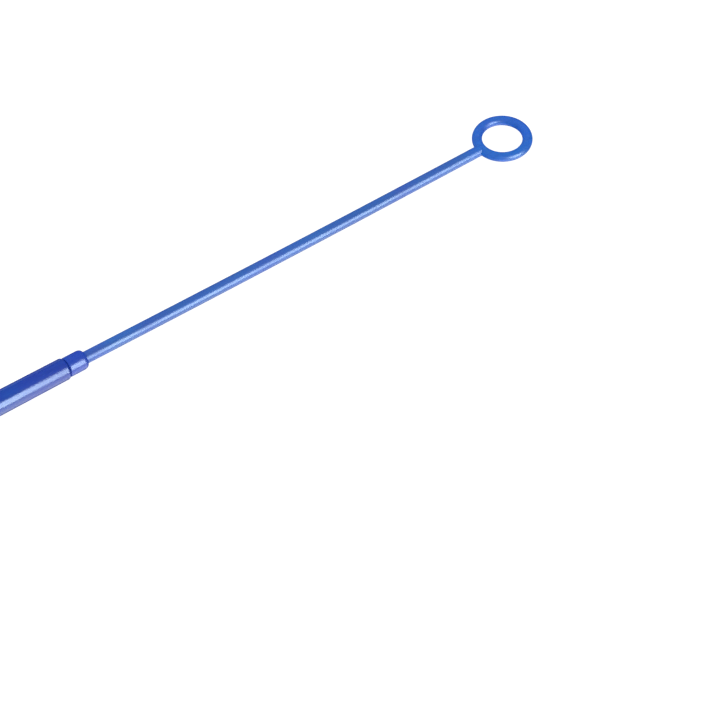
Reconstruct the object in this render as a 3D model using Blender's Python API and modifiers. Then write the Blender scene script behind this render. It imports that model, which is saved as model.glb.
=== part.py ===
"""Double-ended disposable inoculating loop: one handle with a large ring and a small eye at its two ends.

The loop lies flat along X with the large ring towards +X. Z is up, and Z = 0 is the bench under the handle.
Each end is built outwards from the handle's end face, along the local Z axis of that end's empty.
"""

from math import cos, pi, sin

import bpy

MM = 0.001

# Turned pieces are prisms with flat sides. Stated diameters are across the flats, and one flat faces down.
SIDES = 20
RING_STEPS = 48
EYE_STEPS = 24
ARC_STEPS = 4
RING_SECTION_STEPS = 12
EYE_RIM_STEPS = 10

# Handle
HANDLE_LENGTH = 97.0 * MM
HANDLE_MID_DIA = 2.60 * MM
HANDLE_END_DIA = 2.225 * MM
HANDLE_TAPER = 34.0 * MM
HANDLE_EDGE = 0.26 * MM
SOCKET_DIA = 1.51 * MM
SOCKET_DEPTH = 5.0 * MM

# Collars: a round nose in front of the handle and a spigot inside it
COLLAR_DIA = 2.00 * MM
COLLAR_REACH = 2.17 * MM
COLLAR_NOSE = 0.50 * MM
COLLAR_REAR_EDGE = 0.13 * MM
SPIGOT_LENGTH = 4.6 * MM
SEAT_DEPTH = 1.0 * MM

# Stems, which share a tang that is held in the collar
STEM_BASE_DIA = 1.225 * MM
TANG_DIA = 0.86 * MM
TANG_DEPTH = 4.2 * MM

# Large loop
REACH_10UL = 49.83 * MM
STEM_10UL_TIP_DIA = 1.11 * MM
RING_INNER_DIA = 4.0 * MM
RING_WALL = 1.01 * MM
RING_HEIGHT = 0.92 * MM
STEM_NOSE_INSET = 0.15 * MM
STEM_NOSE_LENGTH = 0.45 * MM

# Small loop
STEM_1UL_LENGTH = 41.9 * MM
STEM_1UL_END_DIA = 1.255 * MM
CONE_LENGTH = 2.0 * MM
NECK_DIA = 0.67 * MM
NECK_LENGTH = 5.4 * MM
NECK_TIP_DIA = 0.47 * MM
EYE_OUTER_DIA = 2.05 * MM
EYE_RIM_WALL = 0.42 * MM
EYE_RIM_HEIGHT = 0.56 * MM
EYE_WEB = 0.18 * MM
EYE_RIM_TURN = 0.8 * pi

# Clearance between a piece and the piece that holds it, on each side
FIT_GAP = 0.03 * MM
SHOULDER_GAP = 0.04 * MM

SPIGOT_DIA = SOCKET_DIA - 2 * FIT_GAP
MOUTH_DIA = STEM_BASE_DIA + 2 * FIT_GAP
BORE_DIA = TANG_DIA + 2 * FIT_GAP
RING_RADIUS = (RING_INNER_DIA + RING_WALL) / 2
RING_OUTER_RADIUS = RING_RADIUS + RING_WALL / 2
RING_CENTRE = COLLAR_REACH + REACH_10UL
EYE_NECK_END = COLLAR_REACH + STEM_1UL_LENGTH + CONE_LENGTH + NECK_LENGTH
EYE_CENTRE = EYE_NECK_END + EYE_OUTER_DIA / 2
TIP_10UL = RING_CENTRE + RING_OUTER_RADIUS
TIP_1UL = EYE_CENTRE + EYE_OUTER_DIA / 2

# The handle's middle sits where the whole loop is centred on X = 0, at the height of its own half thickness.
HANDLE_X = (TIP_1UL - TIP_10UL) / 2
AXIS_Z = HANDLE_MID_DIA / 2

# Linear colours
HANDLE_BLUE = (0.025, 0.055, 0.40, 1.0)
COLLAR_BLUE = (0.028, 0.065, 0.44, 1.0)
LOOP_BLUE = (0.035, 0.14, 0.56, 1.0)
PALE_BLUE = (0.06, 0.23, 0.68, 1.0)
HANDLE_ROUGHNESS = 0.28
LOOP_ROUGHNESS = 0.25


def clear_scene():
    for old in list(bpy.data.objects):
        bpy.data.objects.remove(old, do_unlink=True)


def new_collection(name):
    made = bpy.data.collections.new(name)
    bpy.context.scene.collection.children.link(made)
    return made


def empty(name, collection, parent=None, location=(0, 0, 0), rotation=(0, 0, 0)):
    made = bpy.data.objects.new(name, None)
    made.empty_display_size = 2 * MM
    made.location = location
    made.rotation_euler = rotation
    made.parent = parent
    collection.objects.link(made)
    return made


def plastic(name, colour, roughness):
    material = bpy.data.materials.new(name)
    material.use_nodes = True
    shader = material.node_tree.nodes["Principled BSDF"]
    shader.inputs["Base Color"].default_value = colour
    shader.inputs["Roughness"].default_value = roughness
    shader.inputs["Metallic"].default_value = 0.0
    return material


def arc(centre_r, centre_z, half_r, half_z, start, end, steps=ARC_STEPS):
    """Points of an elliptical arc in a profile, between two angles measured from the outward axis."""
    angles = [start + (end - start) * i / steps for i in range(steps + 1)]
    return [(centre_r + half_r * cos(a), centre_z + half_z * sin(a)) for a in angles]


def turned(name, profile, collection, parent, closed=False, steps=SIDES):
    """A profile of (radius, height) points turned about local Z. It runs down its outer side."""
    turn = pi / steps
    corner = 1 / cos(turn)
    points = [(r * corner * cos(turn), r * corner * sin(turn), z) for r, z in profile]
    edges = [(i, i + 1) for i in range(len(points) - 1)]
    if closed:
        edges.append((len(points) - 1, 0))
    mesh = bpy.data.meshes.new(name)
    mesh.from_pydata(points, edges, [])
    piece = bpy.data.objects.new(name, mesh)
    piece.parent = parent
    collection.objects.link(piece)
    screw = piece.modifiers.new("turn", "SCREW")
    screw.axis = "Z"
    screw.steps = steps
    screw.render_steps = steps
    screw.use_merge_vertices = True
    screw.merge_threshold = 1e-7
    screw.use_smooth_shade = False
    return piece


def join(piece, guide):
    """Boolean union of a piece with a guide shape that is itself left out of the model."""
    union = piece.modifiers.new("join", "BOOLEAN")
    union.operation = "UNION"
    union.solver = "EXACT"
    union.object = guide
    guide.hide_render = True
    guide.display_type = "WIRE"


def handle_rod(collection, parent):
    """Round rod, thickest in the middle, with a blind socket and a rounded edge at each end."""
    half = HANDLE_LENGTH / 2
    end_r = HANDLE_END_DIA / 2
    mid_r = HANDLE_MID_DIA / 2
    socket_r = SOCKET_DIA / 2
    upper = [(0, half - SOCKET_DEPTH), (socket_r, half - SOCKET_DEPTH), (socket_r, half)]
    upper += arc(end_r - HANDLE_EDGE, half - HANDLE_EDGE, HANDLE_EDGE, HANDLE_EDGE, pi / 2, 0)
    upper.append((mid_r, half - HANDLE_TAPER))
    lower = [(r, -z) for r, z in reversed(upper)]
    return turned("handle_rod", upper + lower, collection, parent)


def collar(name, collection, parent):
    """Ferrule: a round-nosed collar outside the handle and a bored spigot inside it."""
    collar_r = COLLAR_DIA / 2
    mouth_r = MOUTH_DIA / 2
    face_r = mouth_r + FIT_GAP
    rear = SHOULDER_GAP
    seat = COLLAR_REACH - SEAT_DEPTH
    profile = [(mouth_r, COLLAR_REACH)]
    profile += arc(face_r, COLLAR_REACH - COLLAR_NOSE, collar_r - face_r, COLLAR_NOSE, pi / 2, 0)
    profile.append((collar_r, rear + COLLAR_REAR_EDGE))
    profile.append((collar_r - COLLAR_REAR_EDGE, rear))
    profile.append((SPIGOT_DIA / 2, rear))
    profile.append((SPIGOT_DIA / 2, -SPIGOT_LENGTH))
    profile.append((BORE_DIA / 2, -SPIGOT_LENGTH))
    profile.append((BORE_DIA / 2, seat))
    profile.append((mouth_r, seat))
    return turned(name, profile, collection, parent, closed=True)


def tang():
    """The end of a stem's profile: its full diameter down to the seat, then the tang inside the collar."""
    shoulder = COLLAR_REACH - SEAT_DEPTH + SHOULDER_GAP
    tang_r = TANG_DIA / 2
    return [(STEM_BASE_DIA / 2, shoulder), (tang_r, shoulder), (tang_r, -TANG_DEPTH), (0, -TANG_DEPTH)]


def loop_10ul(collection, guides, parent):
    """Stem whose rounded nose ends inside the wall of a flat-lying ring of oval section."""
    tip_r = STEM_10UL_TIP_DIA / 2
    nose_start = RING_CENTRE - RING_OUTER_RADIUS + STEM_NOSE_INSET
    profile = arc(0, nose_start, tip_r, STEM_NOSE_LENGTH, pi / 2, 0)
    profile[0] = (0, nose_start + STEM_NOSE_LENGTH)
    profile.append((STEM_BASE_DIA / 2, COLLAR_REACH))
    stem = turned("loop_10ul", profile + tang(), collection, parent)
    section = arc(RING_RADIUS, 0, RING_WALL / 2, RING_HEIGHT / 2, 2 * pi, 0,
                  RING_SECTION_STEPS)[:-1]
    ring = turned("ring_shape", section, guides, parent, closed=True, steps=RING_STEPS)
    ring.location = (0, 0, RING_CENTRE)
    ring.rotation_euler = (0, pi / 2, 0)
    join(stem, ring)
    return stem


def loop_1ul(collection, guides, parent):
    """Stem, cone and thin neck that run into a small round eye: a raised rim around a thin dished web."""
    neck_r = NECK_DIA / 2
    cone_start = COLLAR_REACH + STEM_1UL_LENGTH
    neck_end = EYE_NECK_END + EYE_RIM_WALL / 2
    profile = [(0, neck_end), (NECK_TIP_DIA / 2, neck_end), (neck_r, EYE_NECK_END)]
    profile.append((neck_r, cone_start + CONE_LENGTH))
    profile.append((STEM_1UL_END_DIA / 2, cone_start))
    profile.append((STEM_BASE_DIA / 2, COLLAR_REACH))
    stem = turned("loop_1ul", profile + tang(), collection, parent)
    rim_r = (EYE_OUTER_DIA - EYE_RIM_WALL) / 2
    rim = arc(rim_r, 0, EYE_RIM_WALL / 2, EYE_RIM_HEIGHT / 2, EYE_RIM_TURN, -EYE_RIM_TURN, EYE_RIM_STEPS)
    dish = [(0, EYE_WEB / 2)] + rim + [(0, -EYE_WEB / 2)]
    eye = turned("eye_shape", dish, guides, parent, steps=EYE_STEPS)
    eye.location = (0, 0, EYE_CENTRE)
    eye.rotation_euler = (0, pi / 2, 0)
    join(stem, eye)
    return stem


def paint(piece, material):
    piece.data.materials.append(material)


def main():
    clear_scene()
    parts = new_collection("inoculating_loop")
    guides = new_collection("guides")
    body = empty("loop_axis", parts, location=(HANDLE_X, 0, AXIS_Z))
    half = HANDLE_LENGTH / 2
    end_10ul = empty("end_10ul", parts, body, location=(half, 0, 0), rotation=(0, pi / 2, 0))
    end_1ul = empty("end_1ul", parts, body, location=(-half, 0, 0), rotation=(0, -pi / 2, 0))

    rod = handle_rod(parts, body)
    rod.rotation_euler = (0, pi / 2, 0)
    paint(rod, plastic("handle_blue", HANDLE_BLUE, HANDLE_ROUGHNESS))
    collar_blue = plastic("collar_blue", COLLAR_BLUE, HANDLE_ROUGHNESS)
    paint(collar("collar_10ul", parts, end_10ul), collar_blue)
    paint(collar("collar_1ul", parts, end_1ul), collar_blue)
    paint(loop_10ul(parts, guides, end_10ul), plastic("loop_blue", LOOP_BLUE, LOOP_ROUGHNESS))
    paint(loop_1ul(parts, guides, end_1ul), plastic("pale_blue", PALE_BLUE, LOOP_ROUGHNESS))


main()
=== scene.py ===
"""Looks of the double-ended inoculating loop: smooth moulded pieces in place of the faceted CAD nodes.

The object lies along X with its large ring towards +X. Each end's collar and loop are built outwards from
the handle's end face, along +X at the ring's end and along -X at the eye's.
"""

from math import cos, exp, pi, radians, sin

import bpy
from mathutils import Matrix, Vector


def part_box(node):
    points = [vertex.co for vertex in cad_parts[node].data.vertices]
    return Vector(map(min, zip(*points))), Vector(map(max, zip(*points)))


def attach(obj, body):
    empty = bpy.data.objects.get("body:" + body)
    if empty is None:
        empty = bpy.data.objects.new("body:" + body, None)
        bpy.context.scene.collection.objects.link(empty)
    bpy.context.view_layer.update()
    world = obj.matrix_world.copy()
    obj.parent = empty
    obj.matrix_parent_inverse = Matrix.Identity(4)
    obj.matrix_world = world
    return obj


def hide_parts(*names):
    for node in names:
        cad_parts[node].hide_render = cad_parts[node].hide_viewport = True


MM = 0.001

# Handle and collars, as in the CAD
HANDLE_END_DIA = 2.225 * MM
HANDLE_TAPER = 34.0 * MM
HANDLE_EDGE = 0.26 * MM
SOCKET_DIA = 1.51 * MM
SOCKET_DEPTH = 5.0 * MM
COLLAR_DIA = 2.00 * MM
COLLAR_REACH = 2.17 * MM
COLLAR_NOSE = 0.50 * MM
COLLAR_REAR_EDGE = 0.13 * MM
SPIGOT_DIA = 1.45 * MM
SPIGOT_LENGTH = 4.6 * MM
MOUTH_DIA = 1.285 * MM
BORE_DIA = 0.92 * MM
SEAT_DEPTH = 1.0 * MM
FACE_LAND = 0.03 * MM
SHOULDER_GAP = 0.04 * MM

# Stems: the tang is held in the collar's bore, and the shoulder faces its seat. Stations cut the visible
# stretch into even spans.
STEM_BASE_DIA = 1.225 * MM
TANG_DIA = 0.86 * MM
TANG_DEPTH = 4.2 * MM
STEM_SHOULDER = COLLAR_REACH - SEAT_DEPTH + SHOULDER_GAP
STATION_SPACING = 5.0 * MM

# Large loop
STEM_10UL_TIP_DIA = 1.11 * MM
STEM_10UL_BOW = 0.10 * MM
STEM_NOSE_INSET = 0.15 * MM
STEM_NOSE_LENGTH = 0.45 * MM
RING_WALL = 1.01 * MM
RING_HEIGHT = 0.92 * MM

# Small loop
STEM_1UL_LENGTH = 41.9 * MM
STEM_1UL_END_DIA = 1.255 * MM
CONE_LENGTH = 2.0 * MM
NECK_DIA = 0.67 * MM
EYE_RIM_WALL = 0.42 * MM
EYE_RIM_HEIGHT = 0.56 * MM
EYE_WEB = 0.18 * MM

# Fineness of the turned pieces and the ring
TURN_STEPS = 96
ARC_STEPS = 8
RING_STEPS = 160
RING_SECTION_STEPS = 40
SHARP_ANGLE = radians(35)

# The moulding's parting line, a faint ridge along both sides
PARTING_HEIGHT = 0.012 * MM
PARTING_SPREAD = radians(3.5)

# Subdivided cage of the small loop. The rim's corners are degrees up from its outermost point, and the web's
# are shares of the rim's inner radius. Each hold, lead, shoulder, foot or gap is how far a loop of the cage
# stands from the edge that it keeps tight, and a share says how thick the stem or neck is there.
SIDES = 8
SUBDIVISIONS = 3
EYE_SEGMENTS = 16
RIM_CORNERS = (135, 90, 45, 0, -45, -90, -135)
WEB_CORNERS = (0.45, 0.85)
EDGE_HOLD = 0.04 * MM
CONE_LEAD = 0.5 * MM
CONE_SHOULDER = 0.25 * MM
CONE_SHOULDER_SHARE = 0.93
CONE_FOOT = 0.3 * MM
CONE_FOOT_SHARE = 1.1
EYE_LEAD = 0.6 * MM
EYE_GAP = 0.06 * MM

# Plastics: linear colours, and how far behind the ring's centre its stem takes on the ring's colour
HANDLE_BLUE = (0.012, 0.060, 0.435)
COLLAR_BLUE = (0.015, 0.082, 0.53)
STEM_BLUE = (0.031, 0.135, 0.54)
RING_BLUE = (0.012, 0.150, 0.66)
# The neck and eye are paler: partly the thin plastic's own lighter tint, partly painted light shining through
# the thin neck and eye from behind.
NECK_BLUE = (0.055, 0.34, 0.80)
RING_PALER_FROM = 6 * MM
RING_PALER_TO = 2 * MM
PLASTIC_IOR = 1.52
SCATTER_RADIUS = (0.15, 0.35, 1.0)
SCATTER_SCALE = 0.6 * MM

# Detail of the plastics: noise scales are per metre, and the flow streaks are drawn out along X
STREAK_SCALE = (90, 1500, 1500)
BLOTCH_SCALE = 260.0
GRAIN_SCALE = 2600.0
RELIEF_DISTANCE = 0.012 * MM
NOISE_SPAN = (0.3, 0.7)
SHADE_SPAN = (0.88, 1.12)
HUE_SPAN = (0.494, 0.506)
SCUFF_NOISE = (0.35, 0.75)
SCUFF_ROUGHNESS = (-0.03, 0.08)

# Wear: pale, dull rubbed edges, and fine slanting scratches whose depth is relative to the grain's
RUBBED_BLUE = (0.16, 0.30, 0.72)
RUBBED_POINTINESS = (0.53, 0.62)
RUBBED_SHARE = 0.16
SCRATCH_SLANT = (radians(12), radians(65), radians(20))
SCRATCH_SCALE = (500, 500, 9000)
SCRATCH_NOISE = (0.64, 0.70)
SCRATCH_DULLNESS = 0.12
SCRATCH_DEPTH = 0.8

# Finish of both loops, with a softer gloss, less grain and less wear than the handle's
LOOP_FINISH = {"roughness": 0.32, "grain": 0.035, "wear": 0.4}
EYE_SCATTER = 0.3

# Camera: its direction and distance from the point it aims at, and that point's place from the ring's centre
CAMERA_AZIMUTH = radians(-35.78)
CAMERA_ELEVATION = radians(48.21)
CAMERA_DISTANCE = 0.5739
CAMERA_LENS_MM = 300.0
CAMERA_SENSOR_MM = 36.0
CAMERA_CLIP = (0.01, 100.0)
AIM_FROM_RING = Vector((-0.02858, -0.01560, 0))

# Table and studio world: strengths relative to white
FLOOR_SIZE = 6.0
FLOOR_ALBEDO = 0.25
FLOOR_ROUGHNESS = 0.9
FLOOR_GLOW = 0.95
BACKDROP_STRENGTH = 1.5
DOME_STRENGTH = 0.95

# Room that only reflections see: (angle in degrees, share of its strength) round the X axis, and how its
# strength falls as the X part of a direction grows
ROOM_STOPS = ((-180, 0.04), (-60, 0.02), (30, 0.04), (85, 0.28), (98, 0.45),
              (110, 0.84), (140, 0.82), (165, 0.48), (180, 0.2))
ROOM_STRENGTH = 4.0
ROOM_SIDE_STRENGTH = 0.4
ROOM_SIDE_START = 0.45
ROOM_SIDE_END = 0.80

# Key light: its direction from its target in degrees, its size, and its radiance relative to white
KEY_TARGET = Vector((0.03, 0, 0))
KEY_AZIMUTH = 15
KEY_ELEVATION = 18.5
KEY_DISTANCE = 1.2
KEY_WIDTH = 0.90
KEY_HEIGHT = 1.05
KEY_RADIANCE = 12.4
KEY_COLOUR = (0.77, 0.95, 1.0)


def new_piece(name, points, faces):
    mesh = bpy.data.meshes.new(name)
    mesh.from_pydata(points, [], faces)
    mesh.validate()
    piece = bpy.data.objects.new(name, mesh)
    bpy.context.scene.collection.objects.link(piece)
    return piece


def bake(piece):
    """Turns a piece's modified shape into its own mesh."""
    evaluated = piece.evaluated_get(bpy.context.evaluated_depsgraph_get())
    piece.data = bpy.data.meshes.new_from_object(evaluated)
    piece.modifiers.clear()


def shade(piece):
    """Smooth shading that leaves sharp edges sharp."""
    piece.data.shade_smooth()
    piece.data.set_sharp_from_angle(angle=SHARP_ANGLE)


def arc(centre_along, centre_r, half_along, half_r, start, end):
    """Profile points of an elliptical arc between two angles measured from straight outwards."""
    angles = [start + (end - start) * i / ARC_STEPS for i in range(ARC_STEPS + 1)]
    return [(centre_along + half_along * sin(a), centre_r + half_r * cos(a), 1) for a in angles]


def turned(name, profile, origin, facing, closed=False):
    """A profile turned about the axis through origin, with its distances along +X or -X, as facing says.

    A profile point is (distance, radius, share of the parting line's height). One of radius 0 closes an end.
    """
    points, faces, rings = [], [], []
    for along, radius, share in profile:
        x = origin.x + facing * along
        if radius == 0:
            rings.append([len(points)])
            points.append((x, origin.y, origin.z))
            continue
        rings.append(list(range(len(points), len(points) + TURN_STEPS)))
        for i in range(TURN_STEPS):
            turn = 2 * pi * i / TURN_STEPS
            off_line = min(abs(turn - line) for line in (0, pi, 2 * pi))
            r = radius + share * PARTING_HEIGHT * exp(-((off_line / PARTING_SPREAD) ** 2))
            points.append((x, origin.y + facing * r * cos(turn), origin.z + r * sin(turn)))
    pairs = list(zip(rings, rings[1:]))
    if closed:
        pairs.append((rings[-1], rings[0]))
    for a, b in pairs:
        for i in range(TURN_STEPS):
            j = i + 1
            corners = [a[i % len(a)], b[i % len(b)], b[j % len(b)], a[j % len(a)]]
            faces.append(list(dict.fromkeys(corners)))
    piece = new_piece(name, points, faces)
    shade(piece)
    return piece


def handle_piece(low, high):
    """The handle rod with rounded end edges and the blind sockets of its collars."""
    half = (high.x - low.x) / 2
    mid_r = (high.z - low.z) / 2
    end_r = HANDLE_END_DIA / 2
    socket_r = SOCKET_DIA / 2
    upper = [(half - SOCKET_DEPTH, 0, 0), (half - SOCKET_DEPTH, socket_r, 0), (half, socket_r, 0)]
    upper += arc(half - HANDLE_EDGE, end_r - HANDLE_EDGE, HANDLE_EDGE, HANDLE_EDGE, pi / 2, 0)
    upper.append((half - HANDLE_TAPER, mid_r, 1))
    lower = [(-along, r, share) for along, r, share in reversed(upper)]
    return turned("handle", upper + lower, (low + high) / 2, 1)


def collar_piece(name, origin, facing):
    """A round-nosed collar with its spigot, bored for the stem."""
    collar_r = COLLAR_DIA / 2
    mouth_r = MOUTH_DIA / 2
    face_r = mouth_r + FACE_LAND
    spigot_r = SPIGOT_DIA / 2
    bore_r = BORE_DIA / 2
    rear = SHOULDER_GAP
    seat = COLLAR_REACH - SEAT_DEPTH
    profile = [(COLLAR_REACH, mouth_r, 0)]
    profile += arc(COLLAR_REACH - COLLAR_NOSE, face_r, COLLAR_NOSE, collar_r - face_r, pi / 2, 0)
    profile += reversed(arc(rear + COLLAR_REAR_EDGE, collar_r - COLLAR_REAR_EDGE,
                            -COLLAR_REAR_EDGE, COLLAR_REAR_EDGE, pi / 2, 0))
    profile += [(rear, spigot_r, 0), (-SPIGOT_LENGTH, spigot_r, 0), (-SPIGOT_LENGTH, bore_r, 0)]
    profile += [(seat, bore_r, 0), (seat, mouth_r, 0)]
    return turned(name, profile, origin, facing, closed=True)


def ring_shape(centre, outer):
    """A flat-lying ring of oval section."""
    points, faces = [], []
    for u in range(RING_STEPS):
        turn = 2 * pi * u / RING_STEPS
        for k in range(RING_SECTION_STEPS):
            angle = 2 * pi * k / RING_SECTION_STEPS
            r = outer - RING_WALL / 2 + RING_WALL / 2 * cos(angle)
            points.append(centre + Vector((r * cos(turn), r * sin(turn), RING_HEIGHT / 2 * sin(angle))))
            a, b = u * RING_SECTION_STEPS, (u + 1) % RING_STEPS * RING_SECTION_STEPS
            j = (k + 1) % RING_SECTION_STEPS
            faces.append([a + k, b + k, b + j, a + j])
    return new_piece("ring_shape", points, faces)


def bow(piece, start, end, depth):
    """Bends the stretch between two X positions towards -Y in a shallow arc."""
    for vertex in piece.data.vertices:
        share = (vertex.co.x - start) / (end - start)
        if 0 < share < 1:
            vertex.co.y -= depth * sin(pi * share)


def loop_10ul_piece(low, high, origin):
    """Stem whose rounded nose ends inside the wall of the ring, moulded in one."""
    outer = (high.y - low.y) / 2
    centre = high.x - outer - origin.x
    nose = centre - outer + STEM_NOSE_INSET
    tip_r = STEM_10UL_TIP_DIA / 2
    base_r = STEM_BASE_DIA / 2
    tang_r = TANG_DIA / 2
    profile = arc(nose, 0, STEM_NOSE_LENGTH, tip_r, pi / 2, 0)
    profile[0] = (nose + STEM_NOSE_LENGTH, 0, 0)
    spans = round((nose - COLLAR_REACH) / STATION_SPACING)
    for i in range(1, spans + 1):
        share = i / spans
        profile.append((nose + share * (COLLAR_REACH - nose), tip_r + share * (base_r - tip_r), 1))
    profile += [(STEM_SHOULDER, base_r, 0), (STEM_SHOULDER, tang_r, 0)]
    profile += [(-TANG_DEPTH, tang_r, 0), (-TANG_DEPTH, 0, 0)]
    stem = turned("ring_and_stem", profile, origin, 1)
    bow(stem, origin.x + COLLAR_REACH, origin.x + nose, STEM_10UL_BOW)
    ring = ring_shape(origin + Vector((centre, 0, 0)), outer)
    union = stem.modifiers.new("join", "BOOLEAN")
    union.operation = "UNION"
    union.solver = "EXACT"
    union.object = ring
    bake(stem)
    bpy.data.objects.remove(ring)
    shade(stem)
    return stem


def shrink(sides):
    """The share of its radius that a regular loop of this many corners keeps when it is subdivided."""
    return (2 + cos(2 * pi / sides)) / 3


class Cage:
    """A coarse closed cage for Subdivision Surface, with its stem along a local x axis from origin."""

    def __init__(self, origin, facing):
        self.origin, self.facing = origin, facing
        self.points, self.faces = [], []

    def corner(self, x, y, z):
        place = Vector((self.facing * x, self.facing * y, z))
        self.points.append(self.origin + place)
        return len(self.points) - 1

    def loop(self, x, radius):
        r = radius / shrink(SIDES)
        angles = [2 * pi * i / SIDES for i in range(SIDES)]
        return [self.corner(x, r * cos(a), r * sin(a)) for a in angles]

    def bridge(self, a, b):
        for i in range(len(a)):
            j = (i + 1) % len(a)
            self.faces.append([a[i], a[j], b[j], b[i]])

    def tube(self, stations):
        """A tube through (x, radius) stations, capped at the first. Returns its last loop."""
        loops = [self.loop(x, r) for x, r in stations]
        self.faces.append(loops[0][::-1])
        for a, b in zip(loops, loops[1:]):
            self.bridge(a, b)
        return loops[-1]

    def head(self, centre_x, section, outermost, segments, stem_end):
        """A disc round centre_x whose section of (radius, height) corners runs down its outer side.

        On the stem's side the outermost corner is left out, and the stem's last loop joins that opening.
        """
        grid = []
        for u in range(segments):
            turn = pi + 2 * pi * u / segments
            row = []
            for k, (r, z) in enumerate(section):
                opened = u == 0 and k == outermost
                row.append(None if opened else self.corner(centre_x + r * cos(turn), r * sin(turn), z))
            grid.append(row)
        for u in range(segments):
            a, b = grid[u], grid[(u + 1) % segments]
            for k in range(len(section) - 1):
                corners = [a[k], a[k + 1], b[k + 1], b[k]]
                if None not in corners:
                    self.faces.append(corners)
        self.faces.append([row[0] for row in grid])
        self.faces.append([row[-1] for row in grid][::-1])
        above, under = outermost - 1, outermost + 1
        before, here, after = grid[-1], grid[0], grid[1]
        opening = [before[outermost], before[above], here[above], after[above]]
        opening += [after[outermost], after[under], here[under], before[under]]
        self.bridge(stem_end, opening)

    def finish(self, name):
        piece = new_piece(name, self.points, self.faces)
        smooth = piece.modifiers.new("smooth", "SUBSURF")
        smooth.levels = SUBDIVISIONS
        smooth.render_levels = SUBDIVISIONS
        bake(piece)
        piece.data.shade_smooth()
        return piece


def stem_stations(end, end_r):
    """(x, radius) of the small loop's stem: tang, shoulder in the collar, and an even change to its end."""
    tang_r = TANG_DIA / 2
    base_r = STEM_BASE_DIA / 2
    stations = [(-TANG_DEPTH, tang_r), (-TANG_DEPTH + EDGE_HOLD, tang_r)]
    stations += [(STEM_SHOULDER - EDGE_HOLD, tang_r), (STEM_SHOULDER, tang_r)]
    stations += [(STEM_SHOULDER, base_r), (STEM_SHOULDER + EDGE_HOLD, base_r)]
    spans = round((end - COLLAR_REACH) / STATION_SPACING)
    for i in range(spans + 1):
        share = i / spans
        stations.append((COLLAR_REACH + share * (end - COLLAR_REACH), base_r + share * (end_r - base_r)))
    return stations


def rim_corners(outer):
    """Cage corners of the eye's oval rim, from its inner top over its outer side to its inner underside."""
    half_wall = EYE_RIM_WALL / 2 / shrink(SIDES) / shrink(EYE_SEGMENTS)
    half_height = EYE_RIM_HEIGHT / 2 / shrink(SIDES)
    middle = (outer - EYE_RIM_WALL / 2) / shrink(EYE_SEGMENTS)
    return [(middle + half_wall * cos(radians(a)), half_height * sin(radians(a))) for a in RIM_CORNERS]


def loop_1ul_piece(low, high, origin):
    """Stem, cone, neck and small eye with a raised rim round a thin dished web, moulded in one."""
    outer = (high.y - low.y) / 2
    centre = origin.x - low.x - outer
    cone = COLLAR_REACH + STEM_1UL_LENGTH
    cone_end = cone + CONE_LENGTH
    neck_end = centre - outer
    end_r = STEM_1UL_END_DIA / 2
    neck_r = NECK_DIA / 2
    stations = stem_stations(cone - CONE_LEAD, end_r)
    stations += [(cone, end_r), (cone + CONE_SHOULDER, CONE_SHOULDER_SHARE * end_r)]
    stations += [(cone_end - CONE_FOOT, CONE_FOOT_SHARE * neck_r), (cone_end + CONE_FOOT, neck_r)]
    stations += [(neck_end - EYE_LEAD, neck_r), (neck_end - EYE_GAP, neck_r)]
    inner_r = outer - EYE_RIM_WALL
    web = [(inner_r * share, EYE_WEB / 2) for share in WEB_CORNERS]
    section = web + rim_corners(outer) + [(r, -z) for r, z in reversed(web)]
    outermost = len(web) + RIM_CORNERS.index(0)
    cage = Cage(origin, -1)
    cage.head(centre, section, outermost, EYE_SEGMENTS, cage.tube(stations))
    return cage.finish("eye_and_stem")


class Nodes:
    """Short ways to add shader nodes to one material or world. An input is a value or a node's output."""

    def __init__(self, tree):
        self.tree = tree

    def feed(self, node, name, value):
        if isinstance(value, bpy.types.NodeSocket):
            self.tree.links.new(value, node.inputs[name])
        else:
            node.inputs[name].default_value = value

    def add(self, kind, inputs=(), **settings):
        node = self.tree.nodes.new(kind)
        for key, value in settings.items():
            setattr(node, key, value)
        for name, value in dict(inputs).items():
            self.feed(node, name, value)
        return node

    def coordinate(self, name):
        return self.add("ShaderNodeTexCoord").outputs[name]

    def part(self, vector, axis):
        return self.add("ShaderNodeSeparateXYZ", {"Vector": vector}).outputs[axis]

    def scaled(self, vector, scale, rotation=(0, 0, 0)):
        inputs = {"Vector": vector, "Scale": scale, "Rotation": rotation}
        return self.add("ShaderNodeMapping", inputs).outputs["Vector"]

    def noise(self, vector, scale, detail, roughness=0.5):
        inputs = {"Vector": vector, "Scale": scale, "Detail": detail, "Roughness": roughness}
        return self.add("ShaderNodeTexNoise", inputs).outputs["Fac"]

    def maths(self, operation, *values):
        return self.add("ShaderNodeMath", enumerate(values), operation=operation).outputs["Value"]

    def remap(self, value, span, new_span, curve="LINEAR"):
        """Takes a value from one (low, high) span to another, and holds it at the new span's ends."""
        inputs = {"Value": value, "From Min": span[0], "From Max": span[1],
                  "To Min": new_span[0], "To Max": new_span[1]}
        return self.add("ShaderNodeMapRange", inputs, interpolation_type=curve).outputs["Result"]

    def mix_colours(self, share, a, b):
        inputs = {"Factor": share, "A": a, "B": b}
        return self.add("ShaderNodeMix", inputs, data_type="RGBA").outputs["Result"]

    def background(self, colour, strength):
        inputs = {"Color": colour, "Strength": strength}
        return self.add("ShaderNodeBackground", inputs).outputs["Background"]

    def mix_shaders(self, share, a, b):
        return self.add("ShaderNodeMixShader", {"Fac": share, 1: a, 2: b}).outputs["Shader"]


def opaque(colour):
    return (*colour, 1)


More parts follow.
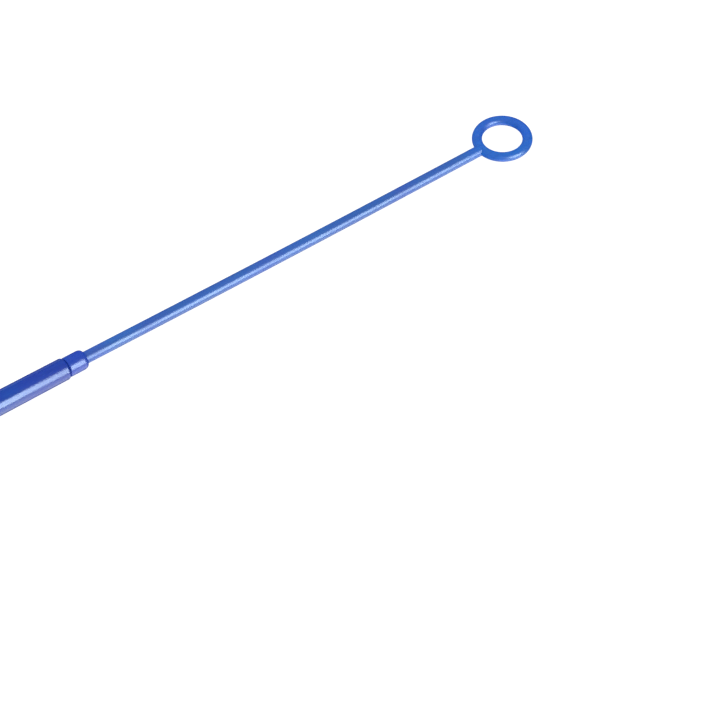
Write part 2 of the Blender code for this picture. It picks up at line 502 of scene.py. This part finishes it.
def blue_plastic(name, colour, pale=None, paler=None, roughness=0.23, scatter=0.15, grain=0.14, wear=1.0):
    """Glossy tinted plastic with flow streaks, soft blotches, fine relief, scratches and rubbed edges.

    Where a pale colour is given, the plastic turns into it between the two X positions in paler. grain is the
    strength of the relief, and wear scales the scratches and the rubbed edges.
    """
    material = bpy.data.materials.new(name)
    material.use_nodes = True
    shader = material.node_tree.nodes["Principled BSDF"]
    nodes = Nodes(material.node_tree)
    place = nodes.coordinate("Object")
    streaks = nodes.noise(nodes.scaled(place, STREAK_SCALE), 1.0, 3.0, roughness=0.6)
    blotches = nodes.noise(place, BLOTCH_SCALE, 2.0)
    pointiness = nodes.add("ShaderNodeNewGeometry").outputs["Pointiness"]
    rubbed = nodes.remap(pointiness, RUBBED_POINTINESS, (0, RUBBED_SHARE * wear))
    lines = nodes.noise(nodes.scaled(place, SCRATCH_SCALE, SCRATCH_SLANT), 1.0, 1.0)
    scratches = nodes.remap(lines, SCRATCH_NOISE, (0, wear))

    base = opaque(colour)
    if pale:
        share = nodes.remap(nodes.part(place, "X"), paler, (0, 1), curve="SMOOTHSTEP")
        base = nodes.mix_colours(share, base, opaque(pale))
    tone = nodes.add("ShaderNodeHueSaturation", {"Color": base,
                                                 "Value": nodes.remap(streaks, NOISE_SPAN, SHADE_SPAN),
                                                 "Hue": nodes.remap(blotches, NOISE_SPAN, HUE_SPAN)})
    tinted = nodes.mix_colours(rubbed, tone.outputs["Color"], opaque(RUBBED_BLUE))
    nodes.feed(shader, "Base Color", tinted)

    scuffs = nodes.remap(blotches, SCUFF_NOISE, [roughness + change for change in SCUFF_ROUGHNESS])
    dulled = nodes.maths("MULTIPLY_ADD", scratches, SCRATCH_DULLNESS, scuffs)
    nodes.feed(shader, "Roughness", nodes.maths("ADD", dulled, rubbed))

    relief = nodes.maths("ADD", nodes.noise(place, GRAIN_SCALE, 2.0), streaks)
    scored = nodes.maths("MULTIPLY_ADD", scratches, -SCRATCH_DEPTH, relief)
    bump = nodes.add("ShaderNodeBump", {"Strength": grain, "Distance": RELIEF_DISTANCE, "Height": scored})
    nodes.feed(shader, "Normal", bump.outputs["Normal"])

    nodes.feed(shader, "IOR", PLASTIC_IOR)
    nodes.feed(shader, "Subsurface Weight", scatter)
    nodes.feed(shader, "Subsurface Radius", SCATTER_RADIUS)
    nodes.feed(shader, "Subsurface Scale", SCATTER_SCALE)
    return material


def finish_piece(piece, material, node):
    piece.data.materials.append(material)
    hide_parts(node)
    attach(piece, "root")


def pale_floor():
    """A large matt white table top. Reflected and scattered light looks past it, to the studio world."""
    half = FLOOR_SIZE / 2
    corners = [(-half, -half, 0), (half, -half, 0), (half, half, 0), (-half, half, 0)]
    floor = new_piece("floor", corners, [(0, 1, 2, 3)])
    material = bpy.data.materials.new("floor_white")
    material.use_nodes = True
    shader = material.node_tree.nodes["Principled BSDF"]
    shader.inputs["Base Color"].default_value = (FLOOR_ALBEDO, FLOOR_ALBEDO, FLOOR_ALBEDO, 1)
    shader.inputs["Roughness"].default_value = FLOOR_ROUGHNESS
    shader.inputs["Specular IOR Level"].default_value = 0.0
    shader.inputs["Emission Color"].default_value = (1, 1, 1, 1)
    shader.inputs["Emission Strength"].default_value = FLOOR_GLOW
    floor.data.materials.append(material)
    floor.visible_glossy = False
    floor.visible_diffuse = False


def room_level(nodes, share):
    """The level that ROOM_STOPS gives an angle, which comes as a share from -180 to 180 degrees."""
    ramp = nodes.add("ShaderNodeValToRGB", {"Fac": share})
    stops = ramp.color_ramp.elements
    while len(stops) < len(ROOM_STOPS):
        stops.new(0.5)
    for stop, (degrees, level) in zip(stops, ROOM_STOPS):
        stop.position = (degrees + 180) / 360
        stop.color = (level, level, level, 1)
    return ramp.outputs["Color"]


def studio_world():
    """White to the camera, an even dome for soft light, and a dim room with one bright low side to reflect.

    The room's level follows the direction's angle about the X axis, from straight up towards -Y, and it
    fades towards both ends of that axis.
    """
    world = bpy.data.worlds.new("studio")
    bpy.context.scene.world = world
    world.use_nodes = True
    world.node_tree.nodes.clear()
    nodes = Nodes(world.node_tree)
    direction = nodes.coordinate("Generated")
    forward = nodes.maths("MULTIPLY", nodes.part(direction, "Y"), -1.0)
    angle = nodes.maths("ARCTAN2", forward, nodes.part(direction, "Z"))
    level = room_level(nodes, nodes.remap(angle, (-pi, pi), (0, 1)))
    sideways = nodes.maths("ABSOLUTE", nodes.part(direction, "X"))
    strength = nodes.remap(sideways, (ROOM_SIDE_START, ROOM_SIDE_END), (ROOM_STRENGTH, ROOM_SIDE_STRENGTH),
                           curve="SMOOTHSTEP")

    path = nodes.add("ShaderNodeLightPath").outputs
    white = (1, 1, 1, 1)
    dome = nodes.background(white, DOME_STRENGTH)
    room = nodes.background(level, strength)
    backdrop = nodes.background(white, BACKDROP_STRENGTH)
    lit = nodes.mix_shaders(path["Is Glossy Ray"], dome, room)
    seen = nodes.mix_shaders(path["Is Camera Ray"], lit, backdrop)
    nodes.add("ShaderNodeOutputWorld", {"Surface": seen})


def towards(azimuth, elevation):
    """The unit vector at two angles in radians. Azimuth 0 lies towards -Y, and 90 degrees towards +X."""
    return Vector((sin(azimuth) * cos(elevation), -cos(azimuth) * cos(elevation), sin(elevation)))


def key_softbox():
    """A large area light that shows in reflections only, because the world's dome gives the diffuse light."""
    away = towards(radians(KEY_AZIMUTH), radians(KEY_ELEVATION))
    light = bpy.data.lights.new("key_softbox", "AREA")
    light.shape = "RECTANGLE"
    light.size = KEY_WIDTH
    light.size_y = KEY_HEIGHT
    light.energy = KEY_RADIANCE * pi * KEY_WIDTH * KEY_HEIGHT
    light.color = KEY_COLOUR
    lamp = bpy.data.objects.new("key_softbox", light)
    lamp.location = KEY_TARGET + away * KEY_DISTANCE
    lamp.rotation_euler = away.to_track_quat("Z", "Y").to_euler()
    lamp.visible_diffuse = False
    bpy.context.scene.collection.objects.link(lamp)


def camera(ring_centre):
    back = towards(CAMERA_AZIMUTH, CAMERA_ELEVATION)
    data = bpy.data.cameras.new("camera")
    data.sensor_width = CAMERA_SENSOR_MM
    data.lens = CAMERA_LENS_MM
    data.clip_start, data.clip_end = CAMERA_CLIP
    eye = bpy.data.objects.new("camera", data)
    eye.location = ring_centre + AIM_FROM_RING + back * CAMERA_DISTANCE
    eye.rotation_euler = back.to_track_quat("Z", "Y").to_euler()
    bpy.context.scene.collection.objects.link(eye)
    bpy.context.scene.camera = eye


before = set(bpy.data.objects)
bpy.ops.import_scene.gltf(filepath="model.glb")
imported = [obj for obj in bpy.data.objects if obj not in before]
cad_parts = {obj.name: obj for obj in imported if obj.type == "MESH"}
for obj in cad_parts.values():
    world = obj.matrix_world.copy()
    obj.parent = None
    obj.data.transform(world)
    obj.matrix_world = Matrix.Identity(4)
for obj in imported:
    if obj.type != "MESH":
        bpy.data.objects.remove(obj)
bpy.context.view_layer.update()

handle_low, handle_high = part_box("handle_rod")
ring_low, ring_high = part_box("loop_10ul")
eye_low, eye_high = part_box("loop_1ul")
axis_z = (handle_low.z + handle_high.z) / 2
end_10ul = Vector((handle_high.x, 0, axis_z))
end_1ul = Vector((handle_low.x, 0, axis_z))
ring_centre = Vector((ring_high.x - (ring_high.y - ring_low.y) / 2, 0, axis_z))
cone_x = end_1ul.x - COLLAR_REACH - STEM_1UL_LENGTH

handle_plastic = blue_plastic("handle_plastic", HANDLE_BLUE)
collar_plastic = blue_plastic("collar_plastic", COLLAR_BLUE)
ring_plastic = blue_plastic("ring_plastic", STEM_BLUE, RING_BLUE,
                            (ring_centre.x - RING_PALER_FROM, ring_centre.x - RING_PALER_TO), **LOOP_FINISH)
# Across the cone the stem's blue turns into the paler neck blue, partly painted light shining through the
# thin neck and eye.
eye_plastic = blue_plastic("eye_plastic", STEM_BLUE, NECK_BLUE, (cone_x, cone_x - CONE_LENGTH),
                           scatter=EYE_SCATTER, **LOOP_FINISH)

finish_piece(handle_piece(handle_low, handle_high), handle_plastic, "handle_rod")
finish_piece(collar_piece("collar_large_end", end_10ul, 1), collar_plastic, "collar_10ul")
finish_piece(collar_piece("collar_small_end", end_1ul, -1), collar_plastic, "collar_1ul")
finish_piece(loop_10ul_piece(ring_low, ring_high, end_10ul), ring_plastic, "loop_10ul")
finish_piece(loop_1ul_piece(eye_low, eye_high, end_1ul), eye_plastic, "loop_1ul")

pale_floor()
studio_world()
key_softbox()
camera(ring_centre)
bpy.context.scene.view_settings.view_transform = "Standard"
